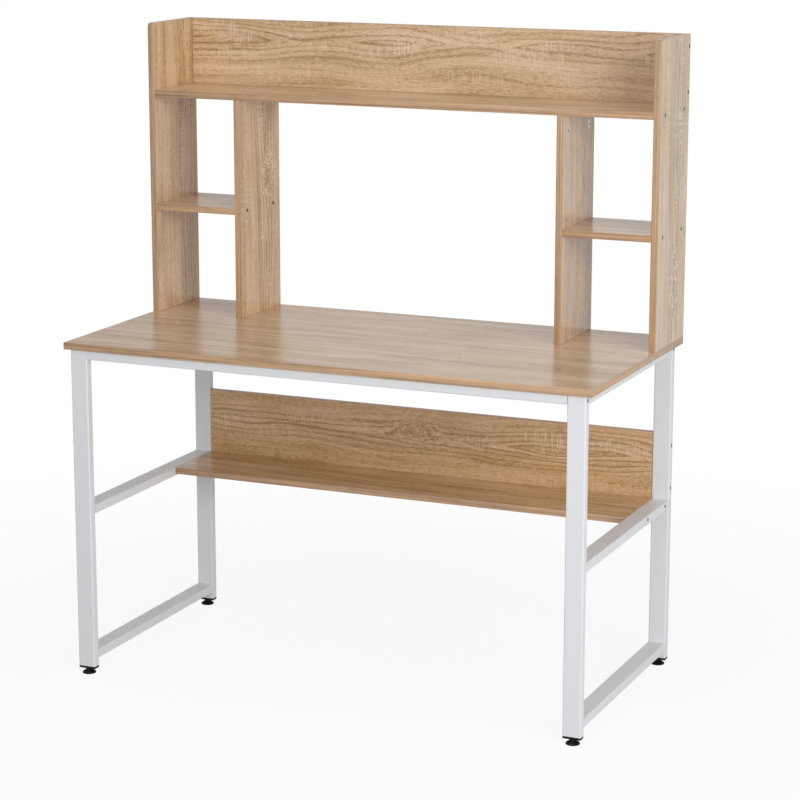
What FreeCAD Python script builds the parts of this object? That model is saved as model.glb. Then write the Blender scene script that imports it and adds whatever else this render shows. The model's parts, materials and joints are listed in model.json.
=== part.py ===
import FreeCAD, Part
import math
import os

# Student desk with a hutch: melamine boards with glued edge bands, carried by two welded tube side
# frames that bolt to two cross rails and stand on four screw-in levelling feet.
# Millimetres. X runs from left to right, Y from front to rear, Z up from the floor.
# The origin is on the floor, below the middle of the desktop.

# Boards
board_thickness = 15.0
edge_band = 1.0
desk_width = 1200.0
desk_depth = 597.0
desk_height = 743.0
hutch_depth = 198.0
lower_cubby_height = 234.0
upper_cubby_height = 241.0
tray_height = 149.0
small_shelf_width = 197.0
side_corner_radius = 10.0
lower_shelf_depth = 178.0
lower_back_height = 152.0
lower_back_lap = 3.0

# Steel frame
side_overhang = 14.0
front_overhang = 5.0
rear_overhang = 11.0
post_width = 40.0
post_depth = 20.0
rail_height = 20.0
tube_wall = 1.2
tube_inner_corner = 1.8
bottom_rail_underside = 33.0
middle_rail_underside = 362.0

# Levelling feet and the caps that plug the posts
foot_height = 12.2
foot_radius = 15.0
foot_edge_radius = 1.0
foot_rim_height = 2.2
foot_shoulder_radius = 11.6
foot_shoulder_height = 5.2
foot_neck_radius = 7.25
foot_collar_height = 3.2
foot_seat_gap = 0.3
foot_travel = 10.0
flare_bulge_share = 0.05
stud_radius = 4.0
stud_depth_in_foot = 7.0
cap_plate = 5.0
cap_spigot = 20.0
cap_bore_gap = 0.3
nut_across_flats = 13.0
nut_height = 6.5
running_gap = 0.05

# Countersunk machine bolts, their inserts and the plugs welded into the cross rails
bolt_radius = 3.0
bolt_head_radius = 4.5
bolt_head_height = 1.5
bolt_reach = 18.0
insert_radius = 5.0
insert_length = 14.0
plug_length = 14.0
plug_bolt_reach = 11.0
shelf_bolt_inset = 29.0
back_bolt_inset = 28.0

# Countersunk board screws
screw_radius = 3.2
screw_head_radius = 4.75
screw_head_height = 4.0
screw_length = 50.0
shelf_screw_inset = 34.0
back_screw_inset = 26.0
base_screw_rear_inset = 60.0

# Cam fittings between the uprights and the long shelf
cam_radius = 7.5
cam_depth = 12.5
cam_below_shelf = 34.0
pin_radius = 3.5
pin_tip_radius = 3.0
pin_tip_length = 10.0

# Pan-head screws inside the rails, which hold the desktop down on them
top_screw_radius = 2.0
top_screw_head_radius = 4.0
top_screw_head_edge_radius = 3.0
top_screw_head_height = 2.5
top_screw_grip = 10.0
driver_hole_radius = 5.0
side_rail_screw_spacing = 300.0
cross_rail_screw_spacing = 600.0

# Fits
fit_gap = 0.1
overrun = 2.0

# Places worked out from the sizes above
half_width = desk_width / 2
half_depth = desk_depth / 2
post_outer = half_width - side_overhang
post_inner = post_outer - post_width
front_face = front_overhang - half_depth
rear_face = half_depth - rear_overhang
desktop_underside = desk_height - board_thickness
cap_underside = foot_height + foot_seat_gap
post_foot = cap_underside + cap_plate
tube_corner = tube_inner_corner + tube_wall
side_inner = half_width - board_thickness
upright_outer = side_inner - small_shelf_width
upright_inner = upright_outer - board_thickness
hutch_front = half_depth - hutch_depth
small_shelf_underside = desk_height + lower_cubby_height
long_shelf_underside = small_shelf_underside + board_thickness + upper_cubby_height
long_shelf_top = long_shelf_underside + board_thickness
hutch_top = long_shelf_top + tray_height
lower_shelf_top = middle_rail_underside + rail_height
lower_back_underside = lower_shelf_top - lower_back_lap
rear_post_middle = rear_face - post_depth / 2
lower_back_front = rear_post_middle - board_thickness / 2
lower_shelf_front = lower_back_front - lower_shelf_depth

front_post_span = (front_face, front_face + post_depth)
rear_post_span = (rear_face - post_depth, rear_face)
top_rail_span = (desktop_underside - rail_height, desktop_underside)
hutch_depth_span = (hutch_front, half_depth)
hutch_back_span = (half_depth - board_thickness, half_depth)
sides = (("left", -1), ("right", 1))
ends = (("front", front_post_span), ("rear", rear_post_span))
across = FreeCAD.Vector(1, 0, 0)
up = FreeCAD.Vector(0, 0, 1)
square = (0, 0, 0, 0)


def on_side(sign, inner, outer):
    """The X span between two distances from the middle, on the left (-1) or right (1)."""
    return tuple(sorted((sign * inner, sign * outer)))


def middle(span):
    return (span[0] + span[1]) / 2


def inset(span, by):
    return (span[0] + by, span[1] - by)


def place(axis, u, v, w):
    """A point from its two section coordinates and its station along an axis."""
    orders = {"X": (w, u, v), "Y": (v, w, u), "Z": (u, v, w)}
    return FreeCAD.Vector(*orders[axis])


def outline(axis, u, v, w, radii):
    """A closed rectangle across an axis, with its own radius at each of the four corners."""
    corners = ((u[1], v[0], -1, 1), (u[1], v[1], -1, -1), (u[0], v[1], 1, -1), (u[0], v[0], 1, 1))
    bends = []
    for turn, ((cu, cv, su, sv), radius) in enumerate(zip(corners, radii)):
        along_u = place(axis, cu + su * radius, cv, w)
        along_v = place(axis, cu, cv + sv * radius, w)
        short = radius * (1 - math.sqrt(0.5))
        halfway = place(axis, cu + su * short, cv + sv * short, w)
        first, last = (along_u, along_v) if turn % 2 == 0 else (along_v, along_u)
        bends.append((first, halfway, last, radius))
    edges = []
    for (first, halfway, last, radius), following in zip(bends, bends[1:] + bends[:1]):
        if radius:
            edges.append(Part.Arc(first, halfway, last).toShape())
        edges.append(Part.LineSegment(last, following[0]).toShape())
    return Part.Wire(edges)


def prism(axis, u, v, w, radii=square):
    """A solid block between two stations along an axis."""
    face = Part.Face(outline(axis, u, v, w[0], radii))
    return face.extrude(place(axis, 0, 0, w[1] - w[0]))


def tube(axis, u, v, w):
    """A rectangular steel tube with rolled corners, open at both ends."""
    outside = prism(axis, u, v, w, (tube_corner,) * 4)
    bore = prism(axis, inset(u, tube_wall), inset(v, tube_wall), inset(w, -overrun), (tube_inner_corner,) * 4)
    return outside.cut(bore)


def banded_board(axis, u, v, w, radii=square):
    """A board's core and the band glued round its four edges."""
    core_radii = tuple(radius - edge_band if radius else radius for radius in radii)
    core = prism(axis, inset(u, edge_band), inset(v, edge_band), w, core_radii)
    band = prism(axis, u, v, w, radii).cut(core)
    return core, band


def rod(radius, far_radius, start, direction, length):
    """A cylinder, or a cone where the two radii differ."""
    if radius == far_radius:
        return Part.makeCylinder(radius, length, start, direction)
    return Part.makeCone(radius, far_radius, length, start, direction)


def joined(pieces):
    return pieces[0].fuse(pieces[1:]).removeSplitter()


def hexagon(x, y, z, across_flats):
    """A hexagonal prism, two of its flats facing front and rear."""
    corner = across_flats / math.sqrt(3)
    angles = [math.radians(60 * step) for step in range(7)]
    points = [FreeCAD.Vector(x + corner * math.cos(a), y + corner * math.sin(a), z[0]) for a in angles]
    return Part.Face(Part.makePolygon(points)).extrude(up * (z[1] - z[0]))


nodes = {}
holes = []

# Tube frame: each side is two posts with three rails welded between them
for side, sign in sides:
    side_span = on_side(sign, post_inner, post_outer)
    for end, depth_span in ends:
        nodes[f"post_{end}_{side}"] = tube("Z", side_span, depth_span, (post_foot, desktop_underside))
    rail_heights = {
        "top_rail": top_rail_span,
        "middle_rail": (middle_rail_underside, lower_shelf_top),
        "bottom_rail": (bottom_rail_underside, bottom_rail_underside + rail_height),
    }
    for name, height_span in rail_heights.items():
        nodes[f"{name}_{side}"] = tube("Y", height_span, side_span, (front_post_span[1], rear_post_span[0]))
for end, depth_span in ends:
    nodes[f"cross_rail_{end}"] = tube("X", depth_span, top_rail_span, (-post_inner, post_inner))

# Boards, each with its edge band as a piece of its own
between_sides = (-side_inner, side_inner)
between_posts = (-post_inner, post_inner)
long_shelf_span = (long_shelf_underside, long_shelf_top)
boards = {
    "desktop": ("Z", (-half_width, half_width), (-half_depth, half_depth), (desktop_underside, desk_height)),
    "long_shelf": ("Z", between_sides, hutch_depth_span, long_shelf_span),
    "hutch_back": ("Y", (long_shelf_top, hutch_top), between_sides, hutch_back_span),
    "lower_shelf": (
        "Z", between_posts, (lower_shelf_front, lower_back_front),
        (lower_shelf_top - board_thickness, lower_shelf_top),
    ),
    "lower_back": (
        "Y", (lower_back_underside, lower_back_underside + lower_back_height), between_posts,
        (lower_back_front, lower_back_front + board_thickness),
    ),
}
front_top_round = (0, 0, side_corner_radius, 0)
small_shelf_span = (small_shelf_underside, small_shelf_underside + board_thickness)
for side, sign in sides:
    boards[f"hutch_side_{side}"] = (
        "X", hutch_depth_span, (desk_height, hutch_top),
        on_side(sign, side_inner, half_width), front_top_round,
    )
    boards[f"upright_{side}"] = (
        "X", hutch_depth_span, (desk_height, long_shelf_underside),
        on_side(sign, upright_inner, upright_outer),
    )
    boards[f"small_shelf_{side}"] = (
        "Z", on_side(sign, upright_outer, side_inner), hutch_depth_span, small_shelf_span,
    )
for name, spans in boards.items():
    nodes[name], nodes[f"{name}_edge_band"] = banded_board(*spans)


# Fasteners, each with the hole that it needs
def drill(radius, at, direction, depth):
    """A round hole that starts clear of the face at this point."""
    holes.append(Part.makeCylinder(radius, depth + overrun, at - direction * overrun, direction))


def countersunk(at, direction, radius, head_radius, head_height, length):
    """A fastener whose head lies flush with the face at this point."""
    def shape(gap):
        neck = at + direction * head_height
        head = rod(head_radius + gap, radius + gap, at, direction, head_height)
        shank = rod(radius + gap, radius + gap, neck, direction, length - head_height + gap)
        return [head, shank]

    mouth_radius = head_radius + fit_gap
    mouth = rod(mouth_radius, mouth_radius, at - direction * overrun, direction, overrun)
    holes.append(joined(shape(fit_gap) + [mouth]))
    return joined(shape(0))


def bolt(at, direction, length):
    return countersunk(at, direction, bolt_radius, bolt_head_radius, bolt_head_height, length)


def board_screw(at, direction):
    return countersunk(at, direction, screw_radius, screw_head_radius, screw_head_height, screw_length)


def board_insert(at, direction):
    """A threaded sleeve sunk level with a board's end."""
    radius = insert_radius + fit_gap
    holes.append(rod(radius, radius, at, direction, insert_length + fit_gap))
    bore_radius = bolt_radius + fit_gap
    bore = rod(bore_radius, bore_radius, at, direction, insert_length)
    return rod(insert_radius, insert_radius, at, direction, insert_length).cut(bore)


def top_screw(at):
    """A pan-head screw up into the desktop from inside a rail, with a hole below for the driver."""
    seat = at + up * (rail_height - tube_wall)
    head = rod(
        top_screw_head_edge_radius, top_screw_head_radius, seat - up * top_screw_head_height, up,
        top_screw_head_height,
    )
    length = tube_wall + top_screw_grip
    drill(driver_hole_radius, at, up, tube_wall + overrun)
    drill(top_screw_radius + fit_gap, seat, up, length + fit_gap)
    return joined([head, rod(top_screw_radius, top_screw_radius, seat, up, length)])


def cam_pin(at, gap):
    """The two steps of a cam pin, from the middle of its cam up into the shelf, grown by a gap."""
    shoulder = at + up * cam_below_shelf
    shank = Part.makeCylinder(pin_radius + gap, cam_below_shelf + gap, at - up * gap, up)
    tip = Part.makeCylinder(pin_tip_radius + gap, pin_tip_length + gap, shoulder, up)
    return [shank, tip]


cross_rail_bolts = []
cross_rail_plugs = []
panel_bolts = []
panel_inserts = []
hutch_screws = []
hutch_base_screws = []
cam_nuts = []
cam_pins = []
desktop_screws = []

panel_bolt_places = [
    (depth, lower_shelf_top - board_thickness / 2)
    for depth in inset((lower_shelf_front, lower_back_front), shelf_bolt_inset)
] + [
    (rear_post_middle, height)
    for height in inset((lower_back_underside, lower_back_underside + lower_back_height), back_bolt_inset)
]
hutch_screw_depths = inset(hutch_depth_span, shelf_screw_inset)
side_screw_places = [
    (depth, height)
    for depth in hutch_screw_depths
    for height in (middle(small_shelf_span), middle(long_shelf_span))
] + [(middle(hutch_back_span), height) for height in inset((long_shelf_top, hutch_top), back_screw_inset)]
base_screw_depths = (hutch_depth_span[0] + shelf_screw_inset, hutch_depth_span[1] - base_screw_rear_inset)
plug_section = tube_wall + fit_gap

for side, sign in sides:
    inward = across * -sign
    for end, depth_span in ends:
        depth = middle(depth_span)
        seat = FreeCAD.Vector(sign * post_outer, depth, middle(top_rail_span))
        cross_rail_bolts.append(bolt(seat, inward, post_width + plug_bolt_reach))
        plug = prism(
            "X", inset(depth_span, plug_section), inset(top_rail_span, plug_section),
            on_side(sign, post_inner - plug_length, post_inner), (tube_inner_corner,) * 4,
        )
        cross_rail_plugs.append(plug)
    for depth, height in panel_bolt_places:
        seat = FreeCAD.Vector(sign * post_outer, depth, height)
        panel_bolts.append(bolt(seat, inward, post_width + bolt_reach))
        panel_inserts.append(board_insert(FreeCAD.Vector(sign * post_inner, depth, height), inward))
    for depth, height in side_screw_places:
        hutch_screws.append(board_screw(FreeCAD.Vector(sign * half_width, depth, height), inward))
    for depth in hutch_screw_depths:
        inner_end = FreeCAD.Vector(sign * upright_inner, depth, middle(small_shelf_span))
        hutch_screws.append(board_screw(inner_end, -inward))
        cam_height = long_shelf_underside - cam_below_shelf
        cam_face = FreeCAD.Vector(sign * upright_outer, depth, cam_height)
        drill(cam_radius + fit_gap, cam_face, inward, cam_depth + fit_gap)
        pin_foot = FreeCAD.Vector(sign * middle((upright_inner, upright_outer)), depth, cam_height)
        cam_pins.append(joined(cam_pin(pin_foot, 0)))
        pin_hole = joined(cam_pin(pin_foot, fit_gap))
        holes.append(pin_hole)
        cam_nuts.append(Part.makeCylinder(cam_radius, cam_depth, cam_face, inward).cut(pin_hole))
    for distance in (middle((side_inner, half_width)), middle((upright_inner, upright_outer))):
        for depth in base_screw_depths:
            below = FreeCAD.Vector(sign * distance, depth, desktop_underside)
            hutch_base_screws.append(board_screw(below, up))
    rail_middle = sign * (post_inner + post_width / 2)
    for end_sign in (-1, 1):
        along_rail = middle((front_post_span[1], rear_post_span[0])) + end_sign * side_rail_screw_spacing / 2
        desktop_screws.append(top_screw(FreeCAD.Vector(rail_middle, along_rail, top_rail_span[0])))
    for end, depth_span in ends:
        along_rail = sign * cross_rail_screw_spacing / 2
        desktop_screws.append(top_screw(FreeCAD.Vector(along_rail, middle(depth_span), top_rail_span[0])))


def drilled(shape):
    """A piece with every hole that reaches into it."""
    reaching = [hole for hole in holes if shape.BoundBox.intersect(hole.BoundBox)]
    return shape.cut(reaching) if reaching else shape


for name in list(nodes):
    nodes[name] = drilled(nodes[name])
nodes["cross_rail_bolts"] = Part.makeCompound(cross_rail_bolts)
nodes["cross_rail_plugs"] = Part.makeCompound([drilled(plug) for plug in cross_rail_plugs])
nodes["panel_bolts"] = Part.makeCompound(panel_bolts)
nodes["panel_inserts"] = Part.makeCompound(panel_inserts)
nodes["hutch_screws"] = Part.makeCompound(hutch_screws)
nodes["hutch_base_screws"] = Part.makeCompound(hutch_base_screws)
nodes["cam_nuts"] = Part.makeCompound(cam_nuts)
nodes["cam_pins"] = Part.makeCompound(cam_pins)
nodes["desktop_screws"] = Part.makeCompound(desktop_screws)


# Levelling feet: a flared base moulded on a stud, which screws into a nut held in the post's cap
def bulged(first, last, share):
    """The middle of an arc between two profile points, pushed aside by a share of their distance."""
    run = last - first
    return (first + last) * 0.5 + FreeCAD.Vector(run.z, 0, -run.x) * share


def foot_base(x, y):
    rim_top = FreeCAD.Vector(foot_radius, 0, foot_rim_height)
    shoulder = FreeCAD.Vector(foot_shoulder_radius, 0, foot_shoulder_height)
    neck = FreeCAD.Vector(foot_neck_radius, 0, foot_height - foot_collar_height)
    neck_top = FreeCAD.Vector(foot_neck_radius, 0, foot_height)
    top_centre = FreeCAD.Vector(0, 0, foot_height)
    sole_centre = FreeCAD.Vector(0, 0, 0)
    sole_edge = FreeCAD.Vector(foot_radius - foot_edge_radius, 0, 0)
    rim_foot = FreeCAD.Vector(foot_radius, 0, foot_edge_radius)
    edges = [
        Part.LineSegment(sole_centre, sole_edge),
        Part.Arc(sole_edge, bulged(sole_edge, rim_foot, (math.sqrt(2) - 1) / 2), rim_foot),
        Part.LineSegment(rim_foot, rim_top),
        Part.Arc(rim_top, bulged(rim_top, shoulder, flare_bulge_share), shoulder),
        Part.Arc(shoulder, bulged(shoulder, neck, -flare_bulge_share), neck),
        Part.LineSegment(neck, neck_top),
        Part.LineSegment(neck_top, top_centre),
        Part.LineSegment(top_centre, sole_centre),
    ]
    profile = Part.Face(Part.Wire([edge.toShape() for edge in edges]))
    body = profile.revolve(sole_centre, up, 360)
    socket_radius = stud_radius + running_gap
    socket_foot = FreeCAD.Vector(0, 0, foot_height - stud_depth_in_foot)
    socket = Part.makeCylinder(socket_radius, stud_depth_in_foot + overrun, socket_foot, up)
    base = body.cut(socket)
    base.translate(FreeCAD.Vector(x, y, 0))
    return base


spigot_top = post_foot + cap_spigot
stud_top = spigot_top + foot_travel
nut_span = (spigot_top - nut_height, spigot_top)
foot_nuts = []
for side, sign in sides:
    side_span = on_side(sign, post_inner, post_outer)
    for end, depth_span in ends:
        x = middle(side_span)
        y = middle(depth_span)
        plate = prism("Z", side_span, depth_span, (cap_underside, post_foot), (tube_corner,) * 4)
        spigot = prism(
            "Z", inset(side_span, plug_section), inset(depth_span, plug_section), (post_foot, spigot_top),
            (tube_inner_corner,) * 4,
        )
        bore_radius = stud_radius + cap_bore_gap
        bore = Part.makeCylinder(bore_radius, spigot_top, FreeCAD.Vector(x, y, 0), up)
        pocket = hexagon(x, y, (nut_span[0], spigot_top + overrun), nut_across_flats + 2 * fit_gap)
        nodes[f"post_cap_{end}_{side}"] = joined([plate, spigot]).cut([bore, pocket])
        thread_radius = stud_radius + running_gap
        thread = Part.makeCylinder(thread_radius, spigot_top + overrun, FreeCAD.Vector(x, y, 0), up)
        foot_nuts.append(hexagon(x, y, nut_span, nut_across_flats).cut(thread))
        stud_foot = foot_height - stud_depth_in_foot
        nodes[f"foot_stud_{end}_{side}"] = Part.makeCylinder(
            stud_radius, stud_top - stud_foot, FreeCAD.Vector(x, y, stud_foot), up
        )
        nodes[f"foot_base_{end}_{side}"] = foot_base(x, y)
nodes["foot_nuts"] = Part.makeCompound(foot_nuts)

os.makedirs("parts", exist_ok=True)
for name, shape in nodes.items():
    shape.exportStep(f"parts/{name}.step")
    print(name, len(shape.Solids), "solids", round(shape.Volume), "mm3")
print(len(nodes), "nodes")
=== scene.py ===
# %% [markdown]
# This lesson dresses a student desk with a hutch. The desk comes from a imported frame: every board, tube
# and foot is already there at its real size and place, in metres, with +Z up and the front towards -Y.
# Blender adds what the frame lacks: the finishes, the rounded edge bands of the boards, and the
# sockets, slots and threads of the small fittings.

# %% Load the desk's frame
import json
import math
import bmesh
import bpy
from mathutils import Matrix, Quaternion, Vector


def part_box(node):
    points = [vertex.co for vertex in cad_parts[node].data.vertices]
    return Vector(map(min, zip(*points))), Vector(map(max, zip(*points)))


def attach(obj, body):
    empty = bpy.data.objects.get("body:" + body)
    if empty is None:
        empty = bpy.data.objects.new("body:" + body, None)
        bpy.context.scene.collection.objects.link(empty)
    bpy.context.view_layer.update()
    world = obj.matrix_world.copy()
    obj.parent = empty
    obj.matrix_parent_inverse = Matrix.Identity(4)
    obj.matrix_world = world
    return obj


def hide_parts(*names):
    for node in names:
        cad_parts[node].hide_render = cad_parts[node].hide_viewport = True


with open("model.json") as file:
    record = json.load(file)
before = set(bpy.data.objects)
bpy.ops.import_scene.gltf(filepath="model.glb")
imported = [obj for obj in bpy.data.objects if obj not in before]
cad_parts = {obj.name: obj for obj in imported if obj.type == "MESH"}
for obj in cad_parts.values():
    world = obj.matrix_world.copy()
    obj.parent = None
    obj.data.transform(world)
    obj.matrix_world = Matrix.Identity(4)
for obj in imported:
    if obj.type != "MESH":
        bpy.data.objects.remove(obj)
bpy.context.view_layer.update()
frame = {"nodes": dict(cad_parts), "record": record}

nodes = frame["nodes"]

# %% [markdown]
# A product picture is taken with a long lens from well back, so that the desk hardly tapers. The camera
# is placed by two angles round the desk, a distance and the point that it looks at. The lens is worked
# out from the focal length in pixels of an 800 pixel picture, because the render's own size isn't
# known while this script runs.

# %% Camera
picture_width = 800
focal_pixels = 2554.7
sensor_width = 36.0
azimuth = math.radians(23.466)
elevation = math.radians(12.579)
roll = math.radians(0.044)
looks_at = Vector((0.0586, 0.0, 0.6144))
camera_distance = 5.5235

towards_camera = Vector((
    math.sin(azimuth) * math.cos(elevation),
    -math.cos(azimuth) * math.cos(elevation),
    math.sin(elevation),
))
bpy.ops.object.camera_add(location=looks_at + towards_camera * camera_distance)
camera = bpy.context.object
camera.rotation_mode = "QUATERNION"
camera.rotation_quaternion = (-towards_camera).to_track_quat("-Z", "Y") @ Quaternion((0, 0, 1), roll)
camera.data.sensor_width = sensor_width
camera.data.lens = focal_pixels / picture_width * sensor_width
bpy.context.scene.camera = camera
bpy.context.scene.view_settings.view_transform = "Standard"
print("camera with a", round(camera.data.lens), "mm lens at", [round(c, 2) for c in camera.location])

# %% [markdown]
# Materials are built from nodes, and a few short helpers keep that readable. `feed` wires a node into a
# socket or sets a plain number there. `sums` and `vector_sums` do arithmetic, and `step_up` turns a value
# into a soft mask. Each returns the socket that holds its answer, so one call can stand inside another,
# as in a written formula.

# %% Arithmetic with nodes
def feed(socket, value):
    """Wires another node's output into a socket, or sets a plain value on it."""
    if isinstance(value, bpy.types.NodeSocket):
        socket.id_data.links.new(value, socket)
    else:
        socket.default_value = value


def sums(tree, operation, first, second=0.0):
    """One step of arithmetic with numbers."""
    node = tree.nodes.new("ShaderNodeMath")
    node.operation = operation
    feed(node.inputs[0], first)
    feed(node.inputs[1], second)
    return node.outputs[0]


def vector_sums(tree, operation, first, second=(0.0, 0.0, 0.0)):
    """The same for vectors. LENGTH gives a plain number."""
    node = tree.nodes.new("ShaderNodeVectorMath")
    node.operation = operation
    feed(node.inputs[0], first)
    feed(node.inputs[1], second)
    return node.outputs["Value" if operation == "LENGTH" else "Vector"]


def step_up(tree, value, low, high):
    """A soft mask that is 0 at low and 1 at high. With low above high it steps down."""
    node = tree.nodes.new("ShaderNodeMapRange")
    node.interpolation_type = "SMOOTHSTEP"
    feed(node.inputs["Value"], value)
    node.inputs["From Min"].default_value = low
    node.inputs["From Max"].default_value = high
    return node.outputs["Result"]


print("arithmetic helpers ready")

# %% [markdown]
# Wood, paint and plastic get their life from noise. `noise` makes a cloud that can be stretched, which is
# how wood grain gets its direction: its three numbers are cells per metre along the grain, across it, and
# through the board. `weighted` lays several clouds over one another, and `blend_colours` and `ramp` turn
# a value into a colour.

# %% Clouds and colours
cloud_middle = 0.5


def noise(tree, vector, cells, detail=2.0, roughness=0.5, distortion=0.0):
    """A cloud from 0 to 1, with this many cells per metre in each direction."""
    cloud = tree.nodes.new("ShaderNodeTexNoise")
    feed(cloud.inputs["Vector"], vector_sums(tree, "MULTIPLY", vector, cells))
    cloud.inputs["Scale"].default_value = 1.0
    cloud.inputs["Detail"].default_value = detail
    cloud.inputs["Roughness"].default_value = roughness
    cloud.inputs["Distortion"].default_value = distortion
    return cloud.outputs[0]


def weighted(tree, start, parts):
    """A start value plus each cloud's departure from its middle, times a weight."""
    total = start
    for cloud, weight in parts:
        swing = sums(tree, "MULTIPLY", sums(tree, "SUBTRACT", cloud, cloud_middle), weight)
        total = sums(tree, "ADD", total, swing)
    return total


def blend_colours(tree, share, first, second):
    """The first colour where the share is 0, and the second where it is 1."""
    node = tree.nodes.new("ShaderNodeMix")
    node.data_type = "RGBA"
    feed(node.inputs[0], share)
    colour_inputs = [socket for socket in node.inputs if socket.type == "RGBA"]
    feed(colour_inputs[0], first)
    feed(colour_inputs[1], second)
    return next(socket for socket in node.outputs if socket.type == "RGBA")


def ramp(tree, value, stops):
    """A colour for each value, read off a row of (position, colour) stops."""
    node = tree.nodes.new("ShaderNodeValToRGB")
    feed(node.inputs[0], value)
    elements = node.color_ramp.elements
    while len(elements) < len(stops):
        elements.new(1.0)
    for element, (position, colour) in zip(elements, stops):
        element.position = position
        element.color = colour
    return node.outputs[0]


print("cloud and colour helpers ready")

# %% [markdown]
# A node group is built once and placed in many materials, each with its own values, so that all boards
# can share one print. The shader stays in the material itself. A material reads the object's own
# coordinates, so that its pattern stays on the piece when the piece moves.

# %% Groups and materials
def new_group(name, inputs, outputs):
    """A node group with named sockets, and the nodes that hold its inputs and outputs."""
    tree = bpy.data.node_groups.new(name, "ShaderNodeTree")
    for socket_name, kind in inputs:
        tree.interface.new_socket(socket_name, in_out="INPUT", socket_type=f"NodeSocket{kind}")
    for socket_name, kind in outputs:
        tree.interface.new_socket(socket_name, in_out="OUTPUT", socket_type=f"NodeSocket{kind}")
    return tree, tree.nodes.new("NodeGroupInput").outputs, tree.nodes.new("NodeGroupOutput").inputs


def place_group(tree, group, vector, values):
    """Puts a group into a material, fed by a vector and by its own named values."""
    node = tree.nodes.new("ShaderNodeGroup")
    node.node_tree = group
    feed(node.inputs["Vector"], vector)
    for name, value in values.items():
        node.inputs[name].default_value = value
    return node.outputs


def new_material(name):
    """A material with its shader, and the object's own coordinates in metres."""
    material = bpy.data.materials.new(name)
    material.use_nodes = True
    tree = material.node_tree
    shader = tree.nodes["Principled BSDF"]
    coordinates = tree.nodes.new("ShaderNodeTexCoord").outputs["Object"]
    return material, tree, shader, coordinates


def turned(tree, vector, turn, shift=(0.0, 0.0, 0.0)):
    """Coordinates turned about their origin and then moved, which lays a pattern another way."""
    node = tree.nodes.new("ShaderNodeMapping")
    feed(node.inputs["Vector"], vector)
    node.inputs["Rotation"].default_value = turn
    node.inputs["Location"].default_value = shift
    return node.outputs[0]


def bump(tree, shader, height, strength, depth):
    """Bends a shader's normals as if the surface were this deep."""
    node = tree.nodes.new("ShaderNodeBump")
    node.inputs["Strength"].default_value = strength
    node.inputs["Distance"].default_value = depth
    feed(node.inputs["Height"], height)
    feed(shader.inputs["Normal"], node.outputs[0])


print("group and material helpers ready")

# %% [markdown]
# The studio is white all round. The world is split by Light Path: rays that go straight to the camera
# see plain white, rays off a gloss see nearly as much, and the light that falls on the desk is a softer
# white. In a gloss the low corner on the left is dimmer, as if a dark card stood there, so the boards
# that mirror it keep their brown. In a world, coordinates are the direction of a ray, so its X and Z tell
# that corner from the rest.

# %% White world
plain_white = (1, 1, 1, 1)
ambient_strength = 0.30
gloss_share = 0.85
dim_share = 0.30
dim_left, clear_left = -0.50, -0.40
dim_low, clear_high = 0.20, 0.24


def seen_directly(tree, gloss):
    """How much of the white a ray shows: all of it straight on or through glass, less off a gloss."""
    path = tree.nodes.new("ShaderNodeLightPath").outputs
    straight = sums(tree, "MAXIMUM", path["Is Camera Ray"], path["Is Transmission Ray"])
    off_gloss = sums(tree, "MULTIPLY", path["Is Glossy Ray"], gloss)
    return sums(tree, "MAXIMUM", straight, off_gloss)


world = bpy.context.scene.world or bpy.data.worlds.new("studio_world")
bpy.context.scene.world = world
world.use_nodes = True
sky = world.node_tree
backdrop = sky.nodes["Background"]
backdrop.inputs["Color"].default_value = plain_white
towards = sky.nodes.new("ShaderNodeSeparateXYZ")
feed(towards.inputs[0], sky.nodes.new("ShaderNodeTexCoord").outputs["Object"])
right_of_corner = step_up(sky, towards.outputs["X"], dim_left, clear_left)
above_corner = step_up(sky, towards.outputs["Z"], dim_low, clear_high)
clear = sums(sky, "MAXIMUM", right_of_corner, above_corner)
gloss = sums(sky, "ADD", sums(sky, "MULTIPLY", clear, gloss_share - dim_share), dim_share)
lift = sums(sky, "MULTIPLY", seen_directly(sky, gloss), 1 - ambient_strength)
feed(backdrop.inputs["Strength"], sums(sky, "ADD", lift, ambient_strength))
print("white world with ambient light at", ambient_strength)

# %% [markdown]
# The floor is split by Light Path too. Near the desk it is partly a real matt floor, so that the feet
# cast a soft shadow, and further out it fades into the white. A plain white floor would lose that shadow,
# and a plain matt one would show an edge against the world, so the two are mixed.

# %% White floor
floor_radius = 60.0
floor_sides = 96
floor_matt = (0.65, 0.65, 0.65, 1)
floor_white = (0.95, 0.95, 0.95, 1)
floor_roughness = 0.9
shadow_share = 0.10
fade_start = 0.7
fade_end = 2.2


def start_clear():
    """Deselects everything, because an operator acts on all that is selected."""
    bpy.ops.object.select_all(action="DESELECT")


start_clear()
bpy.ops.mesh.primitive_circle_add(vertices=floor_sides, radius=floor_radius, fill_type="NGON")
floor = bpy.context.object
floor.name = "studio_floor"
floor_paint, tree, shader, coordinates = new_material("studio_floor")
seen = seen_directly(tree, gloss_share)
feed(shader.inputs["Base Color"], blend_colours(tree, seen, floor_matt, floor_white))
shader.inputs["Roughness"].default_value = floor_roughness
shader.inputs["Specular IOR Level"].default_value = 0.0
glow = tree.nodes.new("ShaderNodeEmission")
fade = step_up(tree, vector_sums(tree, "LENGTH", coordinates), fade_start, fade_end)
white_share = sums(tree, "ADD", sums(tree, "MULTIPLY", fade, shadow_share), 1 - shadow_share)
mixed = tree.nodes.new("ShaderNodeMixShader")
feed(mixed.inputs[0], sums(tree, "MULTIPLY", seen, white_share))
feed(mixed.inputs[1], shader.outputs[0])
feed(mixed.inputs[2], glow.outputs[0])
feed(tree.nodes["Material Output"].inputs["Surface"], mixed.outputs[0])
floor.data.materials.append(floor_paint)
print("floor", floor_radius, "metres in radius")

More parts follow.
